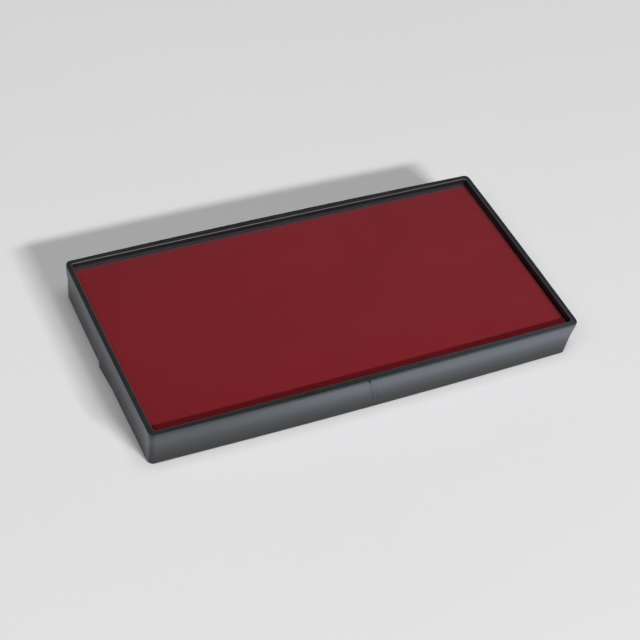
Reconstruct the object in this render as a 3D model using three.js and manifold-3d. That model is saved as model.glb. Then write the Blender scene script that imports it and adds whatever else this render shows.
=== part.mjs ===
// Ink pad cassette for a self-inking stamp: an open moulded tray that holds a cloth-covered felt pad.
// Millimetres. The origin is the centre of the underside, +X runs along the length, +Z is up.

import * as THREE from 'three';
import { mergeVertices } from 'three/addons/utils/BufferGeometryUtils.js';
import Module from 'manifold-3d';

// ---- Driving dimensions ----------------------------------------------------------------------------

const LENGTH = 82;             // outside of the rim, measured at the corners
const WIDTH = 42.2;
const HEIGHT = 8;
const LONG_BOW = 0.4;          // how far each long wall bulges outside at its middle
const SHORT_BOW = 0.1;
const CORNER_RADIUS = 1;       // outside corner of the rim

const WALL = 0.95;             // thickness of the rim at the corners
const INNER_BOW = 0.1;         // bulge of the cavity's long sides, which are straighter than the outside
const RIM_ROUNDING = 0.35;     // outer edge of the rim
const FLOOR = 1.5;
const INNER_DRAFT = 0.1;       // how much narrower the cavity is at the floor, on each side
const COLLAR_HEIGHT = 0.8;     // the rim's collar, which stands proud of the walls
const COLLAR_PROUD = 0.28;
const FLARE_HEIGHT = 3.1;      // slope from the collar down to the wall
const WALL_DRAFT = 0.14;       // further taper of the wall from the flare to the foot
const FOOT_CHAMFER = 0.35;

const PAD_RECESS = 1.4;        // from the rim down to the pad
const GAP = 0.3;               // clearance between touching pieces
const SHEET_THICKNESS = 0.3;
const CLOTH_THICKNESS = 0.35;
const TUCK = 6;                // width of the cloth's margin under the reservoir
const PAD_EDGE = 0.5;          // radius that the cloth turns over

const NUB_FRONT = -3.4;        // locating nub on each short wall: a wedge that is highest near its back end
const NUB_PEAK = 2.2;
const NUB_BACK = 3.6;
const NUB_HEIGHT = 4.6;
const NUB_PROUD = 0.35;

const NICK_X = -1.65;          // nick in the front of the rim, with a slanting witness groove below it
const NICK_WIDTH = 0.6;
const NICK_DEPTH = 0.3;
const WITNESS_DEPTH = 0.15;
const WITNESS_BOTTOM = 2.2;
const WITNESS_LEAN = 0.31;     // how far the groove runs along the wall for each millimetre it drops

// ---- Derived values --------------------------------------------------------------------------------

const COLLAR_BOTTOM = HEIGHT - COLLAR_HEIGHT;
const FOOT_INSET = COLLAR_PROUD + WALL_DRAFT;
const PAD_TOP = HEIGHT - PAD_RECESS;
const SHEET_BOTTOM = FLOOR + GAP;
const COVER_BOTTOM = SHEET_BOTTOM + SHEET_THICKNESS + GAP;
const RESERVOIR_BOTTOM = COVER_BOTTOM + CLOTH_THICKNESS + GAP;
const RESERVOIR_TOP = PAD_TOP - CLOTH_THICKNESS - GAP;
const COVER_SIDE = WALL + INNER_DRAFT + GAP;                  // from the rim's outside to the cloth
const RESERVOIR_SIDE = COVER_SIDE + CLOTH_THICKNESS + GAP;    // from the rim's outside to the felt

const wasm = await Module();
wasm.setup();

// ---- Geometry helpers ------------------------------------------------------------------------------

// A rectangle with rounded corners and bulging sides, at a distance in from the rim.
function outline(inset, radius, longBow) {
  const x = LENGTH / 2 - inset;
  const y = WIDTH / 2 - inset;
  const shape = new THREE.Shape();
  shape.moveTo(-x + radius, -y);
  shape.quadraticCurveTo(0, -y - 2 * longBow, x - radius, -y);
  shape.absarc(x - radius, -y + radius, radius, -Math.PI / 2, 0, false);
  shape.quadraticCurveTo(x + 2 * SHORT_BOW, 0, x, y - radius);
  shape.absarc(x - radius, y - radius, radius, 0, Math.PI / 2, false);
  shape.quadraticCurveTo(0, y + 2 * longBow, -x + radius, y);
  shape.absarc(-x + radius, y - radius, radius, Math.PI / 2, Math.PI, false);
  shape.quadraticCurveTo(-x - 2 * SHORT_BOW, 0, -x, -y + radius);
  shape.absarc(-x + radius, -y + radius, radius, Math.PI, Math.PI * 1.5, false);
  return shape;
}

// A solid with that outline, stacked through levels of [z, how far the outline is drawn in].
function stacked(inset, radius, levels, longBow = INNER_BOW) {
  const steps = levels.length - 1;
  const options = { depth: steps, steps, curveSegments: 8, bevelEnabled: false };
  const geometry = new THREE.ExtrudeGeometry(outline(inset, radius, longBow), options);
  const position = geometry.attributes.position;
  for (let i = 0; i < position.count; i += 1) {
    const [z, drawnIn] = levels[Math.round(position.getZ(i))];
    const scaleX = 1 - drawnIn / (LENGTH / 2 - inset);
    const scaleY = 1 - drawnIn / (WIDTH / 2 - inset);
    position.setXYZ(i, position.getX(i) * scaleX, position.getY(i) * scaleY, z);
  }
  return geometry;
}

function toSolid(geometry) {
  const bare = new THREE.BufferGeometry();
  bare.setAttribute('position', geometry.attributes.position.clone());
  if (geometry.index) bare.setIndex(geometry.index.clone());
  const merged = mergeVertices(bare, 1e-4);
  return new wasm.Manifold(new wasm.Mesh({
    numProp: 3,
    vertProperties: merged.attributes.position.array,
    triVerts: new Uint32Array(merged.index.array),
  }));
}

function toMesh(name, solid, material) {
  const { vertProperties, triVerts } = solid.getMesh();
  const geometry = new THREE.BufferGeometry();
  geometry.setAttribute('position', new THREE.BufferAttribute(vertProperties, 3));
  geometry.setIndex(new THREE.BufferAttribute(triVerts, 1));
  geometry.computeVertexNormals();
  const mesh = new THREE.Mesh(geometry, material);
  mesh.name = name;
  return mesh;
}

// ---- Tray ------------------------------------------------------------------------------------------

function trayBody() {
  const edge = RIM_ROUNDING * (1 - Math.SQRT1_2);
  return toSolid(stacked(0, CORNER_RADIUS, [
    [0, FOOT_INSET + FOOT_CHAMFER],
    [FOOT_CHAMFER, FOOT_INSET],
    [COLLAR_BOTTOM - FLARE_HEIGHT, COLLAR_PROUD],
    [COLLAR_BOTTOM, 0],
    [HEIGHT - RIM_ROUNDING, 0],
    [HEIGHT - edge, edge],
    [HEIGHT, RIM_ROUNDING],
  ], LONG_BOW));
}

function trayCavity() {
  const above = 1;
  return toSolid(stacked(WALL, CORNER_RADIUS / 2, [
    [FLOOR, INNER_DRAFT],
    [HEIGHT, 0],
    [HEIGHT + above, 0],
  ]));
}

// A wedge on the outside of a short wall, widest at the foot, with a long slope at its front end and a
// short one at its back end. side is -1 or 1.
function locatingNub(side) {
  const root = LENGTH / 2 - WALL / 2;
  const wall = LENGTH / 2 - FOOT_INSET + SHORT_BOW;
  const face = wall + NUB_PROUD;
  const plan = new THREE.Shape([
    new THREE.Vector2(side * root, NUB_FRONT),
    new THREE.Vector2(side * wall, NUB_FRONT),
    new THREE.Vector2(side * face, NUB_PEAK),
    new THREE.Vector2(side * wall, NUB_BACK),
    new THREE.Vector2(side * root, NUB_BACK),
  ]);
  const geometry = new THREE.ExtrudeGeometry(plan, { depth: NUB_HEIGHT, bevelEnabled: false });
  const position = geometry.attributes.position;
  for (let i = 0; i < position.count; i += 1) {
    const atTop = position.getZ(i) > NUB_HEIGHT / 2;
    const isFace = side * position.getX(i) > (wall + face) / 2;
    if (atTop && isFace) position.setX(i, side * wall);
  }
  geometry.translate(0, 0, FOOT_CHAMFER);
  return toSolid(geometry);
}

// A square bar along the witness line between two heights, where the wall is at bottomY and topY. One of
// its edges cuts a V groove of that depth.
function grooveCutter(bottom, bottomY, top, topY, depth) {
  const radius = NICK_WIDTH / 2;
  const low = new THREE.Vector3(NICK_X + WITNESS_LEAN * (HEIGHT - bottom), bottomY - radius + depth, bottom);
  const high = new THREE.Vector3(NICK_X + WITNESS_LEAN * (HEIGHT - top), topY - radius + depth, top);
  const bar = new THREE.CylinderGeometry(radius, radius, low.distanceTo(high), 4);
  bar.rotateX(Math.PI / 2);
  bar.lookAt(high.clone().sub(low));
  bar.translate((low.x + high.x) / 2, (low.y + high.y) / 2, (low.z + high.z) / 2);
  return toSolid(bar);
}

function frontNick() {
  const rimY = -WIDTH / 2 - LONG_BOW;
  const rimNick = grooveCutter(COLLAR_BOTTOM, rimY, HEIGHT + 1, rimY, NICK_DEPTH);
  const witness = grooveCutter(WITNESS_BOTTOM, rimY + FOOT_INSET, COLLAR_BOTTOM + 0.1, rimY, WITNESS_DEPTH);
  return rimNick.add(witness);
}

function tray() {
  const material = new THREE.MeshStandardMaterial({ color: 0x1b1b1e, roughness: 0.42, metalness: 0 });
  const solid = trayBody().add(locatingNub(1)).add(locatingNub(-1));
  return toMesh('tray', solid.subtract(trayCavity()).subtract(frontNick()), material);
}

// ---- Pad -------------------------------------------------------------------------------------------

function adhesiveSheet() {
  const material = new THREE.MeshStandardMaterial({ color: 0xd8cfb8, roughness: 0.6, metalness: 0 });
  const inset = RESERVOIR_SIDE + 1;
  const top = SHEET_BOTTOM + SHEET_THICKNESS;
  return toMesh('adhesive_sheet', toSolid(stacked(inset, 2, [[SHEET_BOTTOM, 0], [top, 0]])), material);
}

function inkReservoir() {
  const material = new THREE.MeshStandardMaterial({ color: 0x7c0f1a, roughness: 0.95, metalness: 0 });
  const edge = PAD_EDGE / 2;
  return toMesh('ink_reservoir', toSolid(stacked(RESERVOIR_SIDE, 1, [
    [RESERVOIR_BOTTOM, 0],
    [RESERVOIR_TOP - edge, 0],
    [RESERVOIR_TOP, edge],
  ])), material);
}

// Cloth drawn over the top and sides of the reservoir, with its margin tucked under.
function padCover() {
  const material = new THREE.MeshStandardMaterial({ color: 0xa51c28, roughness: 0.85, metalness: 0 });
  const edge = PAD_EDGE * (1 - Math.SQRT1_2);
  const wrap = toSolid(stacked(COVER_SIDE, 1, [
    [COVER_BOTTOM, 0],
    [PAD_TOP - PAD_EDGE, 0],
    [PAD_TOP - edge, edge],
    [PAD_TOP, PAD_EDGE],
  ]));
  const innerEdge = PAD_EDGE / 2;
  const roomTop = RESERVOIR_TOP + GAP;
  const room = toSolid(stacked(RESERVOIR_SIDE - GAP, 1, [
    [RESERVOIR_BOTTOM - GAP, 0],
    [roomTop - innerEdge, 0],
    [roomTop, innerEdge],
  ]));
  const below = COVER_BOTTOM - GAP;
  const opening = toSolid(stacked(COVER_SIDE + TUCK, 1, [[below, 0], [RESERVOIR_BOTTOM, 0]]));
  return toMesh('pad_cover', wrap.subtract(room).subtract(opening), material);
}

const group = new THREE.Group();
group.add(tray());
group.add(adhesiveSheet());
group.add(inkReservoir());
group.add(padCover());

export default group;
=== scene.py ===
"""Ink pad cassette: a black moulded tray that holds a felt pad under tight cloth, damp with red ink."""
import math

import bmesh
import bpy
from mathutils import Matrix, Vector


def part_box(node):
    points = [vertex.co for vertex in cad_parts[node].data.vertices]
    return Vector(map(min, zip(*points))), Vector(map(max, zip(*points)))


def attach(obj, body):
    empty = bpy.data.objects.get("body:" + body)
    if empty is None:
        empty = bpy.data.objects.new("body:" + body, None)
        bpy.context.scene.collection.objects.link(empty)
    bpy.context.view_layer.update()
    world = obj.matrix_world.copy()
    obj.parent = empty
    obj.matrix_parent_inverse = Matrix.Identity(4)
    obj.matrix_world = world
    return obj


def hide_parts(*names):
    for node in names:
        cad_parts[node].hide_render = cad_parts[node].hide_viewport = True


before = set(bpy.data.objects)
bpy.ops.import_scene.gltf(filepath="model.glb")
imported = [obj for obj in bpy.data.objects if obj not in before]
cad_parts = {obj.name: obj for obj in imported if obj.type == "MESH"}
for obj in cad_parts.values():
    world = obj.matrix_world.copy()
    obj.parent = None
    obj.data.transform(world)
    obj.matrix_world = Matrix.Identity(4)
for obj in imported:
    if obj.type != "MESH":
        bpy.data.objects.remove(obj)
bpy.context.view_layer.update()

MM = 0.001

# ---- Design sizes, in millimetres ------------------------------------------------------------------

LONG_BOW = 0.4           # bulge of each long wall at its middle, outside
SHORT_BOW = 0.1          # bulge of each short wall, outside and inside
INNER_BOW = 0.1          # bulge of the cavity's long sides
CORNER = 1.0             # outside corner radius
CAVITY_CORNER = 0.5
WALL = 0.95              # thickness of the rim
FLOOR = 1.5              # thickness of the floor
INNER_DRAFT = 0.1        # how much narrower the cavity is at the floor, on each side
COLLAR_HEIGHT = 0.8      # the rim's collar, which stands proud of the walls
COLLAR_PROUD = 0.28
FLARE_HEIGHT = 3.1       # slope from the collar down to the wall
WALL_DRAFT = 0.14        # further taper of the wall from the flare to the foot
FOOT_ROUND = 0.35        # radii of the tray's edges
RIM_ROUND = 0.12
RIM_INSIDE_ROUND = 0.15
FLOOR_ROUND = 0.4
SUPPORT = 0.12           # a ring of vertices this far from a rounding keeps the flat face flat
UNDERSIDE_BORDER = 2.5   # width of the scuffed border of the underside

NUB_FRONT = -3.4         # locating nub on each short wall: a wedge that is highest near its back end
NUB_PEAK = 2.2
NUB_BACK = 3.6
NUB_HEIGHT = 4.6
NUB_PROUD = 0.35

NICK_X = -1.65           # nick in the front of the rim, with a slanting witness line below it
NICK_HALF = 0.3          # half the nick's width
NICK_DEPTH = 0.3
NICK_CLOSING = 0.9       # how fast it closes inwards; below 1, the rings over the rim stay in order
WITNESS_DEPTH = 0.09
WITNESS_BOTTOM = 2.2
WITNESS_FADE = 0.6       # it fades in over this height
WITNESS_LEAN = 0.31      # how far it runs along the wall for each millimetre it drops
TWIN_OFFSET = 0.85       # a second, fainter line beside it
TWIN_DEPTH = 0.04

EJECTOR_RADIUS = 1.8     # round prints of the mould's ejector pins in the underside
EJECTOR_DEPTH = 0.08
EJECTOR_INSET = (9.0, 7.5)       # how far they are from the tray's ends and from its long sides

CLOTH_THICKNESS = 0.22
CLOTH_EDGE = 0.2         # radius that the cloth turns over
TUCK = 6.0               # width of the cloth's margin under the reservoir

LONG_PITCH = 1.4         # distance between vertices along the long walls, and along the short ones
SHORT_PITCH = 1.2
NICK_PITCH = 0.06        # the same near the nick and the nubs
NUB_PITCH = 0.12
NUB_DETAIL = (1.9, 3.8)  # where the nubs' steep ends are along the short walls, from their middle
CORNER_STEPS = 8
CLOTH_PITCH = 0.95       # distance between the cloth's vertices on top, down its sides and on its margin
CLOTH_SIDE_PITCH = 0.6
CLOTH_TUCK_PITCH = 0.9
CLOTH_NEAR_EDGE = (0.0, 0.25, 0.55, 0.95, 1.5, 2.2)      # places of the top's vertices near its edge
CLOTH_TOP_CORNER = 0.3   # corner radius of the cloth's flat top, and of its sides
CLOTH_SIDE_CORNER = 0.5


# ---- Shape helpers ---------------------------------------------------------------------------------

def spans(start, end, pitch, fine=(), fine_pitch=0.1):
    """Places from start to end about pitch apart, and fine_pitch apart within the fine spans."""
    places = []
    at = start
    while at < end - 1e-6:
        places.append(at)
        step = fine_pitch if any(a <= at < b for a, b in fine) else pitch
        ahead = [a for a, b in fine if at < a < at + step]
        at = ahead[0] if ahead else at + step
    is_short = end - places[-1] < 0.3 * pitch
    if is_short and len(places) > 1:
        places.pop()
    return places + [end]


def steps(start, end, count):
    """Places from start to end, both included, in that many equal steps."""
    return [start + (end - start) * i / count for i in range(count + 1)]


def smooth(t):
    """0 below t = 0, 1 above t = 1, and an even S between them."""
    t = min(1.0, max(0.0, t))
    return t * t * (3 - 2 * t)


class Outline:
    """A rectangle with rounded corners and bowed sides. All its rings have the same number of points."""

    def __init__(self, half_x, half_y, near_nick=(), near_nubs=()):
        self.half_x = half_x
        self.half_y = half_y
        self.front = spans(-half_x, half_x, LONG_PITCH, near_nick, NICK_PITCH)
        self.back = spans(-half_x, half_x, LONG_PITCH)
        self.side = spans(-half_y, half_y, SHORT_PITCH, near_nubs, NUB_PITCH)
        self.corner = steps(0, 90, CORNER_STEPS)

    def ring(self, inset, radius, long_bow=INNER_BOW):
        """Points (x, y, outward x, outward y), anticlockwise from the front left corner."""
        x = self.half_x - inset
        y = self.half_y - inset
        flat_x = x - radius
        flat_y = y - radius
        points = []

        def bowed(t, bow):
            return bow * (1 - t * t)

        def add_side(places, half, flat, place):
            for s in places[1:-1]:
                points.append(place(s / half * flat, s / half))

        def add_corner(centre_x, centre_y, start):
            for a in self.corner:
                angle = math.radians(start + a)
                out = (math.cos(angle), math.sin(angle))
                points.append((centre_x + radius * out[0], centre_y + radius * out[1], *out))

        add_corner(-flat_x, -flat_y, 180)
        add_side(self.front, self.half_x, flat_x, lambda s, t: (s, -y - bowed(t, long_bow), 0, -1))
        add_corner(flat_x, -flat_y, 270)
        add_side(self.side, self.half_y, flat_y, lambda s, t: (x + bowed(t, SHORT_BOW), s, 1, 0))
        add_corner(flat_x, flat_y, 0)
        add_side(self.back, self.half_x, flat_x, lambda s, t: (-s, y + bowed(t, long_bow), 0, 1))
        add_corner(-flat_x, flat_y, 90)
        add_side(self.side, self.half_y, flat_y, lambda s, t: (-x - bowed(t, SHORT_BOW), -s, -1, 0))
        return points


def add_ring(bm, points, z):
    """Vertices at height z for points that start with x and y, all in mm."""
    return [bm.verts.new((p[0] * MM, p[1] * MM, z * MM)) for p in points]


def join(bm, low, high):
    """Faces between two rings with the same number of vertices."""
    count = len(low)
    for i in range(count):
        j = (i + 1) % count
        bm.faces.new((low[i], low[j], high[j], high[i]))


def finish_mesh(bm, name, material):
    """A smooth shaded piece of that mesh, which rides on the object's one body."""
    bmesh.ops.recalc_face_normals(bm, faces=bm.faces)
    mesh = bpy.data.meshes.new(name)
    bm.to_mesh(mesh)
    bm.free()
    mesh.polygons.foreach_set("use_smooth", [True] * len(mesh.polygons))
    piece = bpy.data.objects.new(name, mesh)
    bpy.context.scene.collection.objects.link(piece)
    mesh.materials.append(material)
    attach(piece, "root")
    return piece


def apply_modifier(piece, kind, **settings):
    """Replaces the piece's mesh by what the modifier makes of it."""
    modifier = piece.modifiers.new(kind.lower(), kind)
    for key, value in settings.items():
        setattr(modifier, key, value)
    shown = piece.evaluated_get(bpy.context.evaluated_depsgraph_get())
    made = bpy.data.meshes.new_from_object(shown)
    piece.modifiers.clear()
    old = piece.data
    piece.data = made
    bpy.data.meshes.remove(old)


# ---- Materials -------------------------------------------------------------------------------------

class Nodes:
    """A material's node tree, with short calls to add and link nodes."""

    def __init__(self, name):
        self.material = bpy.data.materials.new(name)
        self.material.use_nodes = True
        self.tree = self.material.node_tree
        self.shader = self.tree.nodes["Principled BSDF"]

    def add(self, kind, settings=None, **inputs):
        """A node with its inputs fed by name, or by number as _0, _1 and so on."""
        node = self.tree.nodes.new(kind)
        for key, value in (settings or {}).items():
            setattr(node, key, value)
        for key, value in inputs.items():
            self.feed(node.inputs[int(key[1:]) if key[1:].isdigit() else key.replace("_", " ")], value)
        return node

    def feed(self, socket, value):
        """Links the socket to another one, or sets its value."""
        if isinstance(value, bpy.types.NodeSocket):
            self.tree.links.new(value, socket)
        else:
            socket.default_value = value

    def look(self, **inputs):
        """Feeds the shader's own inputs, by name."""
        for name, value in inputs.items():
            self.feed(self.shader.inputs[name.replace("_", " ")], value)

    def math(self, operation, a, b=0.0, clamp=False):
        """The result of a math node."""
        node = self.add("ShaderNodeMath", {"operation": operation, "use_clamp": clamp}, _0=a, _1=b)
        return node.outputs[0]

    def mix(self, factor, a, b):
        """A mix of two colours: a where the factor is 0, b where it is 1."""
        node = self.add("ShaderNodeMix", {"data_type": "RGBA"}, _0=factor, _6=a, _7=b)
        return node.outputs[2]

    def millimetres(self, stretch=(1, 1, 1)):
        """The place on the piece, in millimetres, times stretch along each axis."""
        place = self.add("ShaderNodeTexCoord").outputs["Object"]
        scale = tuple(s / MM for s in stretch)
        return self.add("ShaderNodeMapping", Vector=place, Scale=scale).outputs[0]

    def noise(self, vector, scale, detail=3.0, roughness=0.5):
        """Noise with about that many lumps in a unit of the vector, which is a millimetre."""
        node = self.add("ShaderNodeTexNoise", Vector=vector, Scale=scale, Detail=detail,
                        Roughness=roughness)
        return node.outputs["Fac"]

    def spread(self, value, low, high, to_low=0.0, to_high=1.0):
        """The value carried from low..high to to_low..to_high, and held at their ends."""
        node = self.add("ShaderNodeMapRange", {"clamp": True}, Value=value)
        for name, v in (("From Min", low), ("From Max", high), ("To Min", to_low), ("To Max", to_high)):
            node.inputs[name].default_value = v
        return node.outputs[0]

    def attribute(self, name):
        """A value that is stored on the mesh's vertices."""
        return self.add("ShaderNodeAttribute", {"attribute_name": name}).outputs["Fac"]

    def bump(self, height, distance_mm, strength, after=None):
        """The normal of a surface raised by height times distance_mm, on top of the normal after."""
        node = self.add("ShaderNodeBump", Height=height, Distance=distance_mm * MM, Strength=strength)
        if after is not None:
            self.feed(node.inputs["Normal"], after)
        return node.outputs[0]


def plastic_material():
    """Black satin plastic: fine grain, faint mottling, painted light and shade in grey, scuffed edges and
    a little dried ink.
    """
    deep_black = (0.0065, 0.0068, 0.0078, 1)
    soft_black = (0.0095, 0.0100, 0.0112, 1)
    painted_light_grey = (0.080, 0.094, 0.112, 1)
    scuff_grey = (0.06, 0.06, 0.064, 1)
    dried_ink = (0.03, 0.002, 0.004, 1)
    n = Nodes("tray_plastic")
    place = n.millimetres()
    grain = n.noise(place, scale=7.0, detail=2.0)
    mottle = n.noise(place, scale=0.22, detail=4.0, roughness=0.6)
    scuff = n.noise(n.millimetres((0.35, 2.6, 2.6)), scale=1.3, detail=6.0, roughness=0.65)
    worn = n.math("MULTIPLY", n.attribute("wear"), n.spread(scuff, 0.48, 0.68), clamp=True)
    black = n.mix(n.spread(mottle, 0.35, 0.65), deep_black, soft_black)
    # painted light: the stored value lifts the black towards grey where light and reflections brighten it
    with_painted_light = n.mix(n.attribute("painted_light"), black, painted_light_grey)
    scuffed = n.mix(n.math("MULTIPLY", worn, 0.35), with_painted_light, scuff_grey)
    blots = n.spread(n.noise(place, scale=0.8, detail=5.0, roughness=0.6), 0.42, 0.62)
    inked = n.math("MULTIPLY", n.attribute("ink"), blots, clamp=True)
    colour = n.mix(n.math("MULTIPLY", inked, 0.3), scuffed, dried_ink)
    rubbed = n.math("ADD", n.math("MULTIPLY", worn, 0.16), n.math("MULTIPLY", n.attribute("wear"), 0.3))
    rough = n.math("ADD", n.spread(mottle, 0.3, 0.7, 0.28, 0.34), rubbed)
    waves = n.bump(mottle, distance_mm=0.02, strength=0.25)
    normal = n.bump(grain, distance_mm=0.006, strength=0.35, after=waves)
    n.look(Base_Color=colour, Roughness=rough, IOR=1.5, Normal=normal)
    return n.material


def cloth_material():
    """Fine plain weave, damp with red ink: darker at its edges, with painted shade to the left and a
    painted grey sheen along the back.
    """
    fresh_red = (0.186, 0.0022, 0.0075, 1)
    bright_red = (0.212, 0.0040, 0.0100, 1)
    patch_red = (0.155, 0.0030, 0.008, 1)
    edge_red = (0.170, 0.0025, 0.008, 1)
    painted_shade_red = (0.165, 0.0020, 0.0060, 1)
    painted_sheen_grey = (0.032, 0.027, 0.036, 1)
    gap_red = (0.10, 0.0020, 0.005, 1)
    thread_pitch = 0.3
    painted_shade_band = (-8.0, -36.0)        # painted shade darkens the cloth from the first x to the second
    painted_sheen_band = (18.95, 20.1)        # and a painted sheen greys it from the first y to the second
    n = Nodes("inked_cloth")
    place = n.millimetres()
    x, y, z = n.add("ShaderNodeSeparateXYZ", Vector=place).outputs
    turn = math.pi / thread_pitch
    warp = n.math("SINE", n.math("MULTIPLY", n.math("ADD", x, z), turn))
    weft = n.math("SINE", n.math("MULTIPLY", n.math("ADD", y, z), turn))
    over = n.math("MULTIPLY", warp, weft)
    threads = n.math("ADD", n.math("ABSOLUTE", warp), n.math("ABSOLUTE", weft))
    weave = n.math("ADD", n.math("MULTIPLY", threads, 0.35), n.math("MULTIPLY", over, 0.3))
    cloudy = n.noise(place, scale=0.07, detail=3.0, roughness=0.55)
    patchy = n.noise(place, scale=1.1, detail=4.0, roughness=0.6)
    red = n.mix(n.spread(cloudy, 0.3, 0.7), fresh_red, bright_red)
    red = n.mix(n.spread(patchy, 0.35, 0.75, 0.0, 0.22), red, patch_red)
    red = n.mix(n.math("MULTIPLY", n.attribute("edge"), 0.5), red, edge_red)
    # painted shade towards the left end
    red = n.mix(n.spread(x, *painted_shade_band, 0.0, 0.4), red, painted_shade_red)
    # painted grey sheen along the back edge
    red = n.mix(n.spread(y, *painted_sheen_band, 0.0, 0.9), red, painted_sheen_grey)
    colour = n.mix(n.spread(weave, 0.1, 0.7, 0.25, 0.0), red, gap_red)
    n.look(Base_Color=colour, Roughness=n.spread(patchy, 0.3, 0.7, 0.80, 0.92), IOR=1.42)
    n.look(Sheen_Weight=0.5, Sheen_Roughness=0.4, Sheen_Tint=(1.0, 0.9, 0.95, 1))
    uneven = n.bump(patchy, distance_mm=0.05, strength=0.15)
    woven = n.bump(weave, distance_mm=0.02, strength=0.4, after=uneven)
    n.look(Specular_IOR_Level=0.25, Normal=woven)
    return n.material


def felt_material():
    """Matted fibres, soaked with ink."""
    dark_red = (0.05, 0.001, 0.002, 1)
    light_red = (0.17, 0.005, 0.010, 1)
    clump_red = (0.09, 0.002, 0.004, 1)
    n = Nodes("inked_felt")
    fibres = n.noise(n.millimetres((1.0, 1.0, 5.0)), scale=3.2, detail=8.0, roughness=0.7)
    clumps = n.noise(n.millimetres(), scale=0.6, detail=3.0)
    colour = n.mix(n.spread(clumps, 0.35, 0.65, 0.0, 0.4), n.mix(fibres, dark_red, light_red), clump_red)
    n.look(Base_Color=colour, Roughness=n.spread(fibres, 0.2, 0.8, 0.8, 0.97))
    n.look(Normal=n.bump(fibres, distance_mm=0.15, strength=0.8))
    return n.material


def adhesive_material():
    """Cream adhesive film, stained by ink."""
    dark_cream = (0.50, 0.42, 0.30, 1)
    light_cream = (0.66, 0.58, 0.45, 1)
    ink_stain = (0.42, 0.05, 0.06, 1)
    n = Nodes("adhesive")
    place = n.millimetres()
    mottle = n.noise(place, scale=1.6, detail=5.0, roughness=0.6)
    stain = n.spread(n.noise(place, scale=0.12, detail=4.0, roughness=0.6), 0.5, 0.62, 0.0, 0.7)
    colour = n.mix(stain, n.mix(mottle, dark_cream, light_cream), ink_stain)
    n.look(Base_Color=colour, Roughness=n.spread(mottle, 0.3, 0.7, 0.35, 0.55))
    n.look(Normal=n.bump(mottle, distance_mm=0.05, strength=0.4))
    return n.material


def floor_material():
    """Pale grey paper."""
    n = Nodes("pale_floor")
    grain = n.noise(n.millimetres(), scale=0.02, detail=3.0)
    colour = n.mix(grain, (0.80, 0.80, 0.81, 1), (0.82, 0.82, 0.83, 1))
    n.look(Base_Color=colour, Roughness=0.9, Specular_IOR_Level=0.1)
    return n.material


# ---- Tray ------------------------------------------------------------------------------------------

# wear, ink and painted light run from 0 to 1, and the distances are in mm
RIM_WEAR = 0.45
FOOT_WEAR = 0.6
PLAIN_WEAR = 0.1
INK_CLIMB = 0.6          # how far ink climbs the inside above the pad
INNER_PAINTED_LIGHT = 0.50        # painted light inside along the back, fading out upwards and towards the middle
INNER_PAINTED_LIGHT_CLIMB = 0.7
INNER_PAINTED_LIGHT_REACH = 10.0
PLAIN_GREY = 0.04        # grey tone elsewhere, and painted light of the same amount added to it at the right end
RIGHT_END_LIGHT_REACH = 40.0
PAINTED_LIGHT_START = 0.5         # painted light on the outer walls grows from this height to this far below the rim
PAINTED_LIGHT_END = 1.0
SHORT_WALL_PAINTED_LIGHT = (0.05, 0.85)   # the short walls' painted light at the foot, and what is added at the rim
LONG_WALL_PAINTED_LIGHT = 0.52    # the long walls' painted light near the rim at their left end
RIGHT_PAINTED_LIGHT = 0.52        # painted light added over 34 mm up to the middle
RIGHT_PAINTED_LIGHT_REACH = 34.0
FAR_RIGHT_PAINTED_LIGHT = 0.12    # and over 25 mm to the right of it
FAR_RIGHT_REACH = 25.0
DARK_TOP = 0.5          # the collar's painted light fades out from this far below the rim, over this height, leaving its top dark
DARK_TOP_FADE = 0.35
GROOVE_SHADE = 0.45      # share of the painted light taken away in the witness line, as painted shade
NICK_SHADE = 0.9         # in the nick
CORNER_SHADE = 0.5       # and at the corners
EDGE_HIGHLIGHT = 0.7            # painted highlight on the rim's inner edge
EDGE_HIGHLIGHT_BAND = (0.12, 0.02)      # that edge begins and ends this far short of the cavity
FRONT_RIM_REFLECTION = 0.28      # painted reflection on the front rim, growing from this x over this length
FRONT_RIM_REFLECTION_START = -15.0
FRONT_RIM_REFLECTION_REACH = 50.0


def nub_height(y, z):
    """How far the locating nub stands out of a short wall, fading upwards."""
    along = min((y - NUB_FRONT) / (NUB_PEAK - NUB_FRONT), (NUB_BACK - y) / (NUB_BACK - NUB_PEAK))
    up = (FOOT_ROUND + NUB_HEIGHT - z) / NUB_HEIGHT
    return NUB_PROUD * max(0.0, along) * min(1.0, max(0.0, up))


def nick_depth(x, z, height):
    """How far the nick and the witness lines below it cut into the front wall."""
    middle = NICK_X + WITNESS_LEAN * (height - z)
    fade = smooth((z - WITNESS_BOTTOM) / WITNESS_FADE)
    if z > height - COLLAR_HEIGHT:
        return NICK_DEPTH * max(0.0, 1 - abs(x - middle) / NICK_HALF)
    line = WITNESS_DEPTH * max(0.0, 1 - abs(x - middle) / NICK_HALF)
    twin = TWIN_DEPTH * max(0.0, 1 - abs(x - middle - TWIN_OFFSET) / NICK_HALF)
    return fade * (line + twin)


def tray_plan(high):
    """The rim's outline, with more points where the nick, the witness lines and the nubs are."""
    margin = 0.4
    lines_end = NICK_X + WITNESS_LEAN * (high.z - WITNESS_BOTTOM) + TWIN_OFFSET
    near_nick = [(NICK_X - margin, lines_end + margin)]
    near_nubs = [NUB_DETAIL, (-NUB_DETAIL[1], -NUB_DETAIL[0])]
    return Outline(high.x - SHORT_BOW, high.y - LONG_BOW, near_nick, near_nubs)


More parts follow.
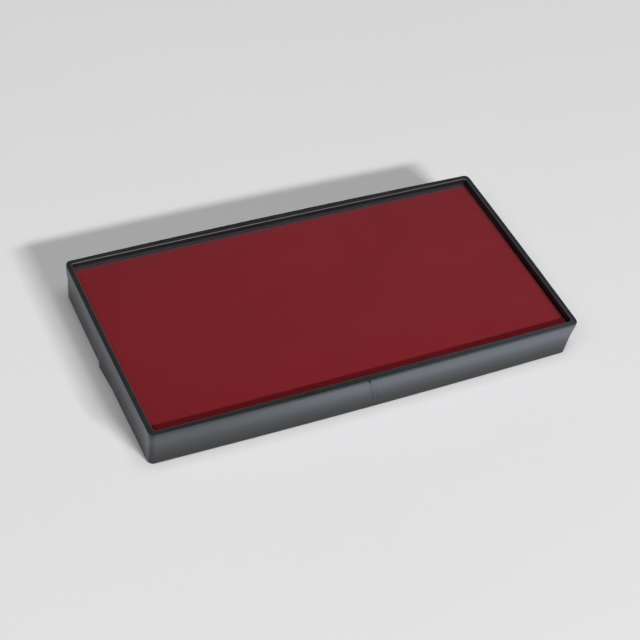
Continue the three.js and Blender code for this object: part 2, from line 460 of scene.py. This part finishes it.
def outside_rows(height):
    """(inset, corner radius, z, bow) up the outside, from the underside to the rim's rounding."""
    round_steps = 5
    flare_steps = 11
    wall_pitch = 0.3
    collar_pitch = 0.1
    foot = COLLAR_PROUD + WALL_DRAFT
    collar_bottom = height - COLLAR_HEIGHT
    flare_bottom = collar_bottom - FLARE_HEIGHT
    rows = [(foot + FOOT_ROUND + UNDERSIDE_BORDER, CORNER / 2, 0.0),
            (foot + FOOT_ROUND + SUPPORT, CORNER - FOOT_ROUND - SUPPORT, 0.0)]
    for a in steps(0, math.pi / 2, round_steps):
        drawn = FOOT_ROUND * (1 - math.sin(a))
        rows.append((foot + drawn, CORNER - drawn, FOOT_ROUND * (1 - math.cos(a))))
    for z in spans(FOOT_ROUND, flare_bottom, wall_pitch)[1:]:
        rows.append((foot - WALL_DRAFT * (z - FOOT_ROUND) / (flare_bottom - FOOT_ROUND), CORNER, z))
    for t in steps(0, 1, flare_steps)[1:]:
        inset = COLLAR_PROUD * (1 - 0.5 * t - 0.5 * smooth(t))
        rows.append((inset, CORNER, flare_bottom + FLARE_HEIGHT * t))
    for z in spans(collar_bottom, height - RIM_ROUND, collar_pitch)[1:]:
        rows.append((0.0, CORNER, z))
    return [(*row, LONG_BOW) for row in rows]


def rim_and_inside_rows(height):
    """(inset, corner radius, z, bow) over the rim and down the cavity to its floor."""
    margin = 0.05
    wall_pitch = 0.35
    inside = WALL - RIM_INSIDE_ROUND
    floor_edge = FLOOR + FLOOR_ROUND
    drop = height - RIM_INSIDE_ROUND - floor_edge
    rows = []

    def add(inset, z):
        t = smooth((inset - RIM_ROUND) / (inside - RIM_ROUND))
        radius = CORNER + (CAVITY_CORNER - CORNER) * t
        bow = LONG_BOW + (INNER_BOW - LONG_BOW) * t
        rows.append((inset, radius, z, bow))

    for a in steps(0, math.pi / 2, 7)[1:]:
        add(RIM_ROUND * (1 - math.cos(a)), height - RIM_ROUND * (1 - math.sin(a)))
    for inset in steps(RIM_ROUND + margin, inside - margin, 4):
        add(inset, height)
    for a in steps(0, math.pi / 2, 5):
        add(inside + RIM_INSIDE_ROUND * math.sin(a), height - RIM_INSIDE_ROUND * (1 - math.cos(a)))
    for z in spans(floor_edge, height - RIM_INSIDE_ROUND, wall_pitch)[-2::-1]:
        add(WALL + INNER_DRAFT * (1 - (z - floor_edge) / drop), z)
    for a in steps(0, math.pi / 2, 4)[1:]:
        inset = WALL + INNER_DRAFT + FLOOR_ROUND * (1 - math.cos(a))
        add(inset, floor_edge - FLOOR_ROUND * math.sin(a))
    add(WALL + INNER_DRAFT + FLOOR_ROUND + SUPPORT, FLOOR)
    return rows


def with_nub_and_nick(point, inset, z, height):
    """Where a ring's point lies once the nubs stand out and the nick is cut."""
    x, y, out_x, out_y = point
    on_rim = z > height - RIM_ROUND
    wall_foot = COLLAR_PROUD + WALL_DRAFT + 0.01
    if abs(out_x) == 1 and 0 < z and inset < WALL / 2:
        x += out_x * nub_height(y, max(z, FOOT_ROUND))
    if out_y == -1 and inset < wall_foot:
        opening = max(0.0, 1 - NICK_CLOSING * inset / NICK_DEPTH) if on_rim else 1.0
        y += nick_depth(x, z, height) * opening
    return x, y


def outside_painted_light(point, z, height):
    """How much painted light greys the outer walls, from 0 to 1.

    The painted light grows towards the rim, and on the long ones also towards the right. The top of the
    collar is left dark, and the nick, the witness lines and the corners get painted shade.
    """
    x, y, out_x, out_y = point
    up = smooth((z - PAINTED_LIGHT_START) / (height - PAINTED_LIGHT_START - PAINTED_LIGHT_END))
    on_long_wall = abs(y) > abs(x) * 0.5
    if on_long_wall:
        grey = LONG_WALL_PAINTED_LIGHT * up
        grey += RIGHT_PAINTED_LIGHT * up * up * smooth((x + RIGHT_PAINTED_LIGHT_REACH) / RIGHT_PAINTED_LIGHT_REACH)
        grey += FAR_RIGHT_PAINTED_LIGHT * up * smooth(x / FAR_RIGHT_REACH)
    else:
        grey = SHORT_WALL_PAINTED_LIGHT[0] + SHORT_WALL_PAINTED_LIGHT[1] * up
    groove = nick_depth(x, z, height) / WITNESS_DEPTH if out_y == -1 else 0.0
    cut = min(NICK_SHADE, GROOVE_SHADE * groove)
    turning = min(1.0, 4 * (out_x * out_y) ** 2)
    collar_top = smooth((z - height + DARK_TOP) / DARK_TOP_FADE)
    return grey * (1 - cut) * (1 - CORNER_SHADE * turning) * (1 - collar_top)


def rim_painted_light(point, inset):
    """How grey the rim's top is: a painted highlight along its inner edge, and a painted reflection at the
    right of the front.
    """
    x, _, _, out_y = point
    edge_highlight = EDGE_HIGHLIGHT if WALL - EDGE_HIGHLIGHT_BAND[0] < inset < WALL - EDGE_HIGHLIGHT_BAND[1] else 0.0
    reflection = FRONT_RIM_REFLECTION * smooth((x - FRONT_RIM_REFLECTION_START) / FRONT_RIM_REFLECTION_REACH) * max(0.0, -out_y)
    return edge_highlight + reflection


def tray_finish(point, inset, z, height, pad_top):
    """(wear, ink, painted light) at a ring's point, each from 0 to 1."""
    x, y, _, _ = point
    on_rim = z > height - RIM_ROUND * 0.9
    on_foot = inset < WALL and z < FOOT_ROUND * 1.2
    outside = inset < WALL / 2 and not on_rim
    inside = inset > WALL * 0.9 and 0 < z < height - RIM_INSIDE_ROUND
    wear = RIM_WEAR if on_rim else FOOT_WEAR if on_foot else PLAIN_WEAR
    if outside:
        return wear, 0.0, outside_painted_light(point, z, height)
    if inside:
        ink = smooth(1 - (z - pad_top) / INK_CLIMB)
        # painted light on the inside along the back, above the pad
        low_down = smooth(1 - (z - pad_top) / INNER_PAINTED_LIGHT_CLIMB)
        return wear, ink, INNER_PAINTED_LIGHT * low_down * smooth(y / INNER_PAINTED_LIGHT_REACH)
    # a plain grey tone, with painted light added towards the right end
    painted_light = PLAIN_GREY + PLAIN_GREY * smooth(x / RIGHT_END_LIGHT_REACH)
    return wear, 0.0, painted_light + (rim_painted_light(point, inset) if on_rim else 0.0)


def circle(x, y, radius, count=40):
    """Points round a circle, in mm."""
    angles = [2 * math.pi * i / count for i in range(count)]
    return [(x + radius * math.cos(a), y + radius * math.sin(a)) for a in angles]


def ejector_mark(bm, x, y):
    """A shallow round print of an ejector pin in the underside. Returns its outermost ring."""
    # how far out of the pin's radius each ring lies, and its share of the depth
    profile = [(SUPPORT, 0.0), (0.05, 0.0), (0.015, 0.2), (-0.015, 0.8), (-0.05, 1.0), (-SUPPORT, 1.0)]
    rings = []
    for out, share in profile:
        rings.append(add_ring(bm, circle(x, y, EJECTOR_RADIUS + out), EJECTOR_DEPTH * share))
    for low, high in zip(rings, rings[1:]):
        join(bm, low, high)
    bm.faces.new(rings[-1])
    return rings[0]


def ring_edges(bm, ring):
    """The edges round a ring, made where they are missing."""
    pairs = zip(ring, ring[1:] + ring[:1])
    return [bm.edges.get(pair) or bm.edges.new(pair) for pair in pairs]


def make_tray():
    """The moulded tray, in rings from the underside up its walls, over the rim and down to the floor."""
    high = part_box("tray")[1] / MM
    height = high.z
    pad_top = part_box("pad_cover")[1].z / MM
    plan = tray_plan(high)
    bm = bmesh.new()
    wear = bm.verts.layers.float.new("wear")
    ink = bm.verts.layers.float.new("ink")
    painted_light = bm.verts.layers.float.new("painted_light")
    rings = []
    for inset, radius, z, bow in outside_rows(height) + rim_and_inside_rows(height):
        points = plan.ring(inset, radius, bow)
        ring = add_ring(bm, [with_nub_and_nick(point, inset, z, height) for point in points], z)
        for vertex, point in zip(ring, points):
            vertex[wear], vertex[ink], vertex[painted_light] = tray_finish(point, inset, z, height, pad_top)
        rings.append(ring)
    for lower, upper in zip(rings, rings[1:]):
        join(bm, lower, upper)
    bm.faces.new(rings[-1])
    mark_x = high.x - EJECTOR_INSET[0]
    mark_y = high.y - EJECTOR_INSET[1]
    marks = [ejector_mark(bm, sx * mark_x, sy * mark_y) for sx in (-1, 0, 1) for sy in (-1, 1)]
    edges = [edge for ring in [rings[0], *marks] for edge in ring_edges(bm, ring)]
    bmesh.ops.triangle_fill(bm, edges=edges, use_beauty=True)
    tray = finish_mesh(bm, "moulded_tray", plastic_material())
    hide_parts("tray")


# ---- Pad -------------------------------------------------------------------------------------------

SIM_SCALE = 40.0         # the cloth is simulated at this many times its size, where the solver is steady
SIM_FRAMES = 20
SIM_PRESSURE = 0.016
SIM_STIFFNESS = 120
SIM_BENDING = 5.0
PUFF_CAP = 0.3           # how far any point of the cloth may move, in millimetres
HELD_HEIGHT = 0.5        # the cloth is held this far up from its underside
WALL_CLEARANCE = 0.03
WALL_REACH = 0.25        # the cloth bulges this far into the clearance that the CAD keeps to the walls
EDGE_BAND = 2.5          # width of the cloth's darker edge


def block(bm, low, high, corner, edge):
    """A closed block with the cavity's bowed plan and rounded edges, between two corners in mm."""
    least_corner = 0.1
    plan = Outline(high.x - SHORT_BOW, high.y - INNER_BOW)
    angles = steps(0, math.pi / 2, 4)
    rows = [(edge * (1 - math.sin(a)), low.z + edge * (1 - math.cos(a))) for a in angles]
    rows += [(edge * (1 - math.cos(a)), high.z - edge * (1 - math.sin(a))) for a in angles]
    rings = [add_ring(bm, plan.ring(inset, max(least_corner, corner - inset)), z) for inset, z in rows]
    for lower, upper in zip(rings, rings[1:]):
        join(bm, lower, upper)
    bm.faces.new(rings[0])
    bm.faces.new(rings[-1])


def graded(half):
    """Places from -half to half, closer together near both ends."""
    inner = half - CLOTH_NEAR_EDGE[-1]
    count = round(2 * inner / CLOTH_PITCH)
    middle = [-inner + 2 * inner * i / count for i in range(1, count)]
    return [-half + s for s in CLOTH_NEAR_EDGE] + middle + [half - s for s in reversed(CLOTH_NEAR_EDGE)]


def cloth_point(u, v, half_x, half_y, corner):
    """Where a point of the flat grid lies on a bowed rectangle with rounded corners."""
    a = max(0.0, abs(u) - (half_x - corner)) / corner
    b = max(0.0, abs(v) - (half_y - corner)) / corner
    # in the corner, a square cell of the grid becomes a quarter of a disc
    round_a = a * math.sqrt(1 - b * b / 2)
    round_b = b * math.sqrt(1 - a * a / 2)
    x = math.copysign(min(abs(u), half_x - corner) + round_a * corner, u)
    y = math.copysign(min(abs(v), half_y - corner) + round_b * corner, v)
    bulge_x = 1 + SHORT_BOW / half_x * (1 - (v / half_y) ** 2)
    bulge_y = 1 + INNER_BOW / half_y * (1 - (u / half_x) ** 2)
    return x * bulge_x, y * bulge_y


def cloth_surface(half_x, half_y, low, top, edge):
    """One layer of cloth: a flat top, a rounded edge, upright sides and a margin tucked under."""
    bm = bmesh.new()
    flat_x = half_x - edge
    flat_y = half_y - edge
    across = graded(flat_x)
    along = graded(flat_y)
    grid = []
    for v in along:
        row = [cloth_point(u, v, flat_x, flat_y, CLOTH_TOP_CORNER) for u in across]
        grid.append(add_ring(bm, row, top))
    for lower, upper in zip(grid, grid[1:]):
        for c in range(len(across) - 1):
            bm.faces.new((lower[c], lower[c + 1], upper[c + 1], upper[c]))
    places = [(u, along[0]) for u in across] + [(across[-1], v) for v in along[1:]]
    places += [(u, along[-1]) for u in across[-2::-1]] + [(across[0], v) for v in along[-2:0:-1]]
    ring = grid[0] + [row[-1] for row in grid[1:]]
    ring += grid[-1][-2::-1] + [row[0] for row in grid[-2:0:-1]]
    profile = []
    for a in steps(0, math.pi / 2, 4)[1:]:
        profile.append((edge * (1 - math.sin(a)), top - edge * (1 - math.cos(a))))
    for z in spans(low + edge, top - edge, CLOTH_SIDE_PITCH)[-2::-1]:
        profile.append((0.0, z))
    for a in steps(0, math.pi / 2, 3)[1:]:
        profile.append((edge * (1 - math.cos(a)), low + edge * (1 - math.sin(a))))
    for inset in spans(edge, TUCK, CLOTH_TUCK_PITCH)[1:]:
        profile.append((inset, low))
    for inset, z in profile:
        reach_x = half_x - inset
        reach_y = half_y - inset
        spots = [(u * reach_x / flat_x, v * reach_y / flat_y) for u, v in places]
        lower = add_ring(bm, [cloth_point(u, v, reach_x, reach_y, CLOTH_SIDE_CORNER) for u, v in spots], z)
        join(bm, ring, lower)
        ring = lower
    return bm


def inflate(piece, hold_below):
    """Cloth simulation: the cover swells a little against its own tension, its tucked margin held."""
    rest = [v.co.copy() for v in piece.data.vertices]
    held = piece.vertex_groups.new(name="held")
    held.add([i for i, c in enumerate(rest) if c.z < hold_below * MM], 1.0, "REPLACE")
    piece.data.transform(Matrix.Scale(SIM_SCALE, 4))
    cloth = piece.modifiers.new("cloth", "CLOTH")
    cloth.settings.use_pressure = True
    cloth.settings.uniform_pressure_force = SIM_PRESSURE
    cloth.settings.effector_weights.gravity = 0.0
    cloth.settings.vertex_group_mass = held.name
    cloth.settings.tension_stiffness = SIM_STIFFNESS
    cloth.settings.compression_stiffness = SIM_STIFFNESS
    cloth.settings.bending_stiffness = SIM_BENDING
    cloth.point_cache.frame_start = 1
    cloth.point_cache.frame_end = SIM_FRAMES
    scene = bpy.context.scene
    for number in range(1, SIM_FRAMES + 1):
        scene.frame_set(number)
    shown = piece.evaluated_get(bpy.context.evaluated_depsgraph_get())
    moved = [v.co / SIM_SCALE for v in shown.data.vertices]
    piece.modifiers.remove(cloth)
    piece.vertex_groups.clear()
    scene.frame_set(1)
    for vertex, was, now in zip(piece.data.vertices, rest, moved):
        step = now - was
        vertex.co = was + step * min(1.0, PUFF_CAP * MM / max(step.length, 1e-12))


def keep_off_walls(piece, tray_high):
    """Holds the cloth clear of the tray's walls. Returns the half sizes of the room between them."""
    room_x = tray_high.x - SHORT_BOW - WALL - WALL_CLEARANCE
    room_y = tray_high.y - LONG_BOW - WALL - WALL_CLEARANCE
    for vertex in piece.data.vertices:
        x, y, z = (c / MM for c in vertex.co)
        draft = INNER_DRAFT * (tray_high.z - z) / (tray_high.z - FLOOR)
        limit_x = room_x - draft + SHORT_BOW * (1 - (y / room_y) ** 2)
        limit_y = room_y - draft + INNER_BOW * (1 - (x / room_x) ** 2)
        vertex.co.x = math.copysign(min(abs(x), limit_x), x) * MM
        vertex.co.y = math.copysign(min(abs(y), limit_y), y) * MM
    return room_x, room_y


def make_cover():
    """The pad's cloth cover: one layer, swelled by the simulation and then given its thickness."""
    low, high = (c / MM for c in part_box("pad_cover"))
    half_x = high.x - SHORT_BOW
    half_y = high.y - INNER_BOW
    bm = cloth_surface(half_x + WALL_REACH, half_y + WALL_REACH, low.z, high.z, CLOTH_EDGE)
    cover = finish_mesh(bm, "pad_cover_cloth", cloth_material())
    inflate(cover, low.z + HELD_HEIGHT)
    room_x, room_y = keep_off_walls(cover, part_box("tray")[1] / MM)
    apply_modifier(cover, "SUBSURF", levels=1)
    apply_modifier(cover, "SOLIDIFY", thickness=CLOTH_THICKNESS * MM, offset=-1.0)
    cover.data.polygons.foreach_set("use_smooth", [True] * len(cover.data.polygons))
    edge = cover.data.attributes.new("edge", "FLOAT", "POINT")
    for i, vertex in enumerate(cover.data.vertices):
        off = min(room_x - abs(vertex.co.x) / MM, room_y - abs(vertex.co.y) / MM)
        edge.data[i].value = 1 - smooth(off / EDGE_BAND)
    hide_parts("pad_cover")


def make_reservoir():
    """The block of felt under the cover."""
    corner = 1.0
    edge = 0.35
    voxel = 0.6
    low, high = (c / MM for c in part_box("ink_reservoir"))
    bm = bmesh.new()
    block(bm, low, high, corner, edge)
    bmesh.ops.triangulate(bm, faces=[f for f in bm.faces if len(f.verts) > 4])
    felt = finish_mesh(bm, "felt_reservoir", felt_material())
    apply_modifier(felt, "REMESH", mode="VOXEL", voxel_size=voxel * MM)
    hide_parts("ink_reservoir")


def make_adhesive():
    """The adhesive film under the felt."""
    corner = 2.0
    edge = 0.06
    low, high = (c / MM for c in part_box("adhesive_sheet"))
    bm = bmesh.new()
    block(bm, low, high, corner, edge)
    sheet = finish_mesh(bm, "adhesive_film", adhesive_material())
    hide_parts("adhesive_sheet")


# ---- Studio ----------------------------------------------------------------------------------------

CAMERA_LENS = 88.65
CAMERA_AZIMUTH = -32.66  # degrees
CAMERA_ELEVATION = 45.14
CAMERA_ROLL = 10.6
CAMERA_DISTANCE = 285.4  # millimetres
CAMERA_AIM = (0.35, 0.4, 0.5)

# name, azimuth and elevation it shines from, distance in mm, (width, height) in mm, watts
LIGHTS = [
    ("key", 14, 29, 1500, (450, 90), 20.5),
    ("top", 0, 88, 1300, (900, 700), 5.8),
    ("top_left", -66, 50, 1300, (700, 500), 3.0),
    ("low_back", 165, 7, 1300, (2400, 220), 3.2),
]
WORLD_GREY = 0.01
FLOOR_HALF = 4.0         # metres


def look_from(azimuth, elevation, roll, distance, aim):
    """The matrix of something that looks at aim from that distance, in mm. Azimuth 0 looks along +Y."""
    a, e, r = (math.radians(d) for d in (azimuth, elevation, roll))
    back = Vector((math.sin(a) * math.cos(e), -math.cos(a) * math.cos(e), math.sin(e)))
    right = Vector((0, 0, 1)).cross(back).normalized()
    up = back.cross(right)
    side = right * math.cos(r) + up * math.sin(r)
    top = up * math.cos(r) - right * math.sin(r)
    turned = Matrix((side, top, back)).transposed().to_4x4()
    return Matrix.Translation((Vector(aim) + back * distance) * MM) @ turned


def make_camera():
    """The photograph's view."""
    data = bpy.data.cameras.new("camera")
    data.sensor_width = 36.0
    data.lens = CAMERA_LENS
    data.clip_start = 0.01
    camera = bpy.data.objects.new("camera", data)
    bpy.context.scene.collection.objects.link(camera)
    camera.matrix_world = look_from(CAMERA_AZIMUTH, CAMERA_ELEVATION, CAMERA_ROLL, CAMERA_DISTANCE,
                                    CAMERA_AIM)
    bpy.context.scene.camera = camera


def area_light(name, azimuth, elevation, distance, size, power):
    """A lamp that shines on the origin from that azimuth and elevation."""
    data = bpy.data.lights.new(name, "AREA")
    data.shape = "RECTANGLE"
    data.size = size[0] * MM
    data.size_y = size[1] * MM
    data.energy = power
    light = bpy.data.objects.new(name, data)
    bpy.context.scene.collection.objects.link(light)
    light.matrix_world = look_from(azimuth, elevation, 0, distance, (0, 0, 0))


def make_floor():
    """A wide pale floor that the tray stands on."""
    bm = bmesh.new()
    signs = ((-1, -1), (1, -1), (1, 1), (-1, 1))
    bm.faces.new([bm.verts.new((sx * FLOOR_HALF, sy * FLOOR_HALF, 0)) for sx, sy in signs])
    mesh = bpy.data.meshes.new("floor")
    bm.to_mesh(mesh)
    bm.free()
    floor = bpy.data.objects.new("floor", mesh)
    bpy.context.scene.collection.objects.link(floor)
    mesh.materials.append(floor_material())


def make_studio():
    """The floor, the lamps and an almost black world."""
    make_floor()
    for light in LIGHTS:
        area_light(*light)
    world = bpy.data.worlds.new("studio")
    world.use_nodes = True
    background = world.node_tree.nodes["Background"]
    background.inputs["Color"].default_value = (WORLD_GREY, WORLD_GREY, WORLD_GREY, 1)
    bpy.context.scene.world = world
    bpy.context.scene.view_settings.view_transform = "Standard"


make_camera()
make_studio()
make_tray()
make_cover()
make_reservoir()
make_adhesive()
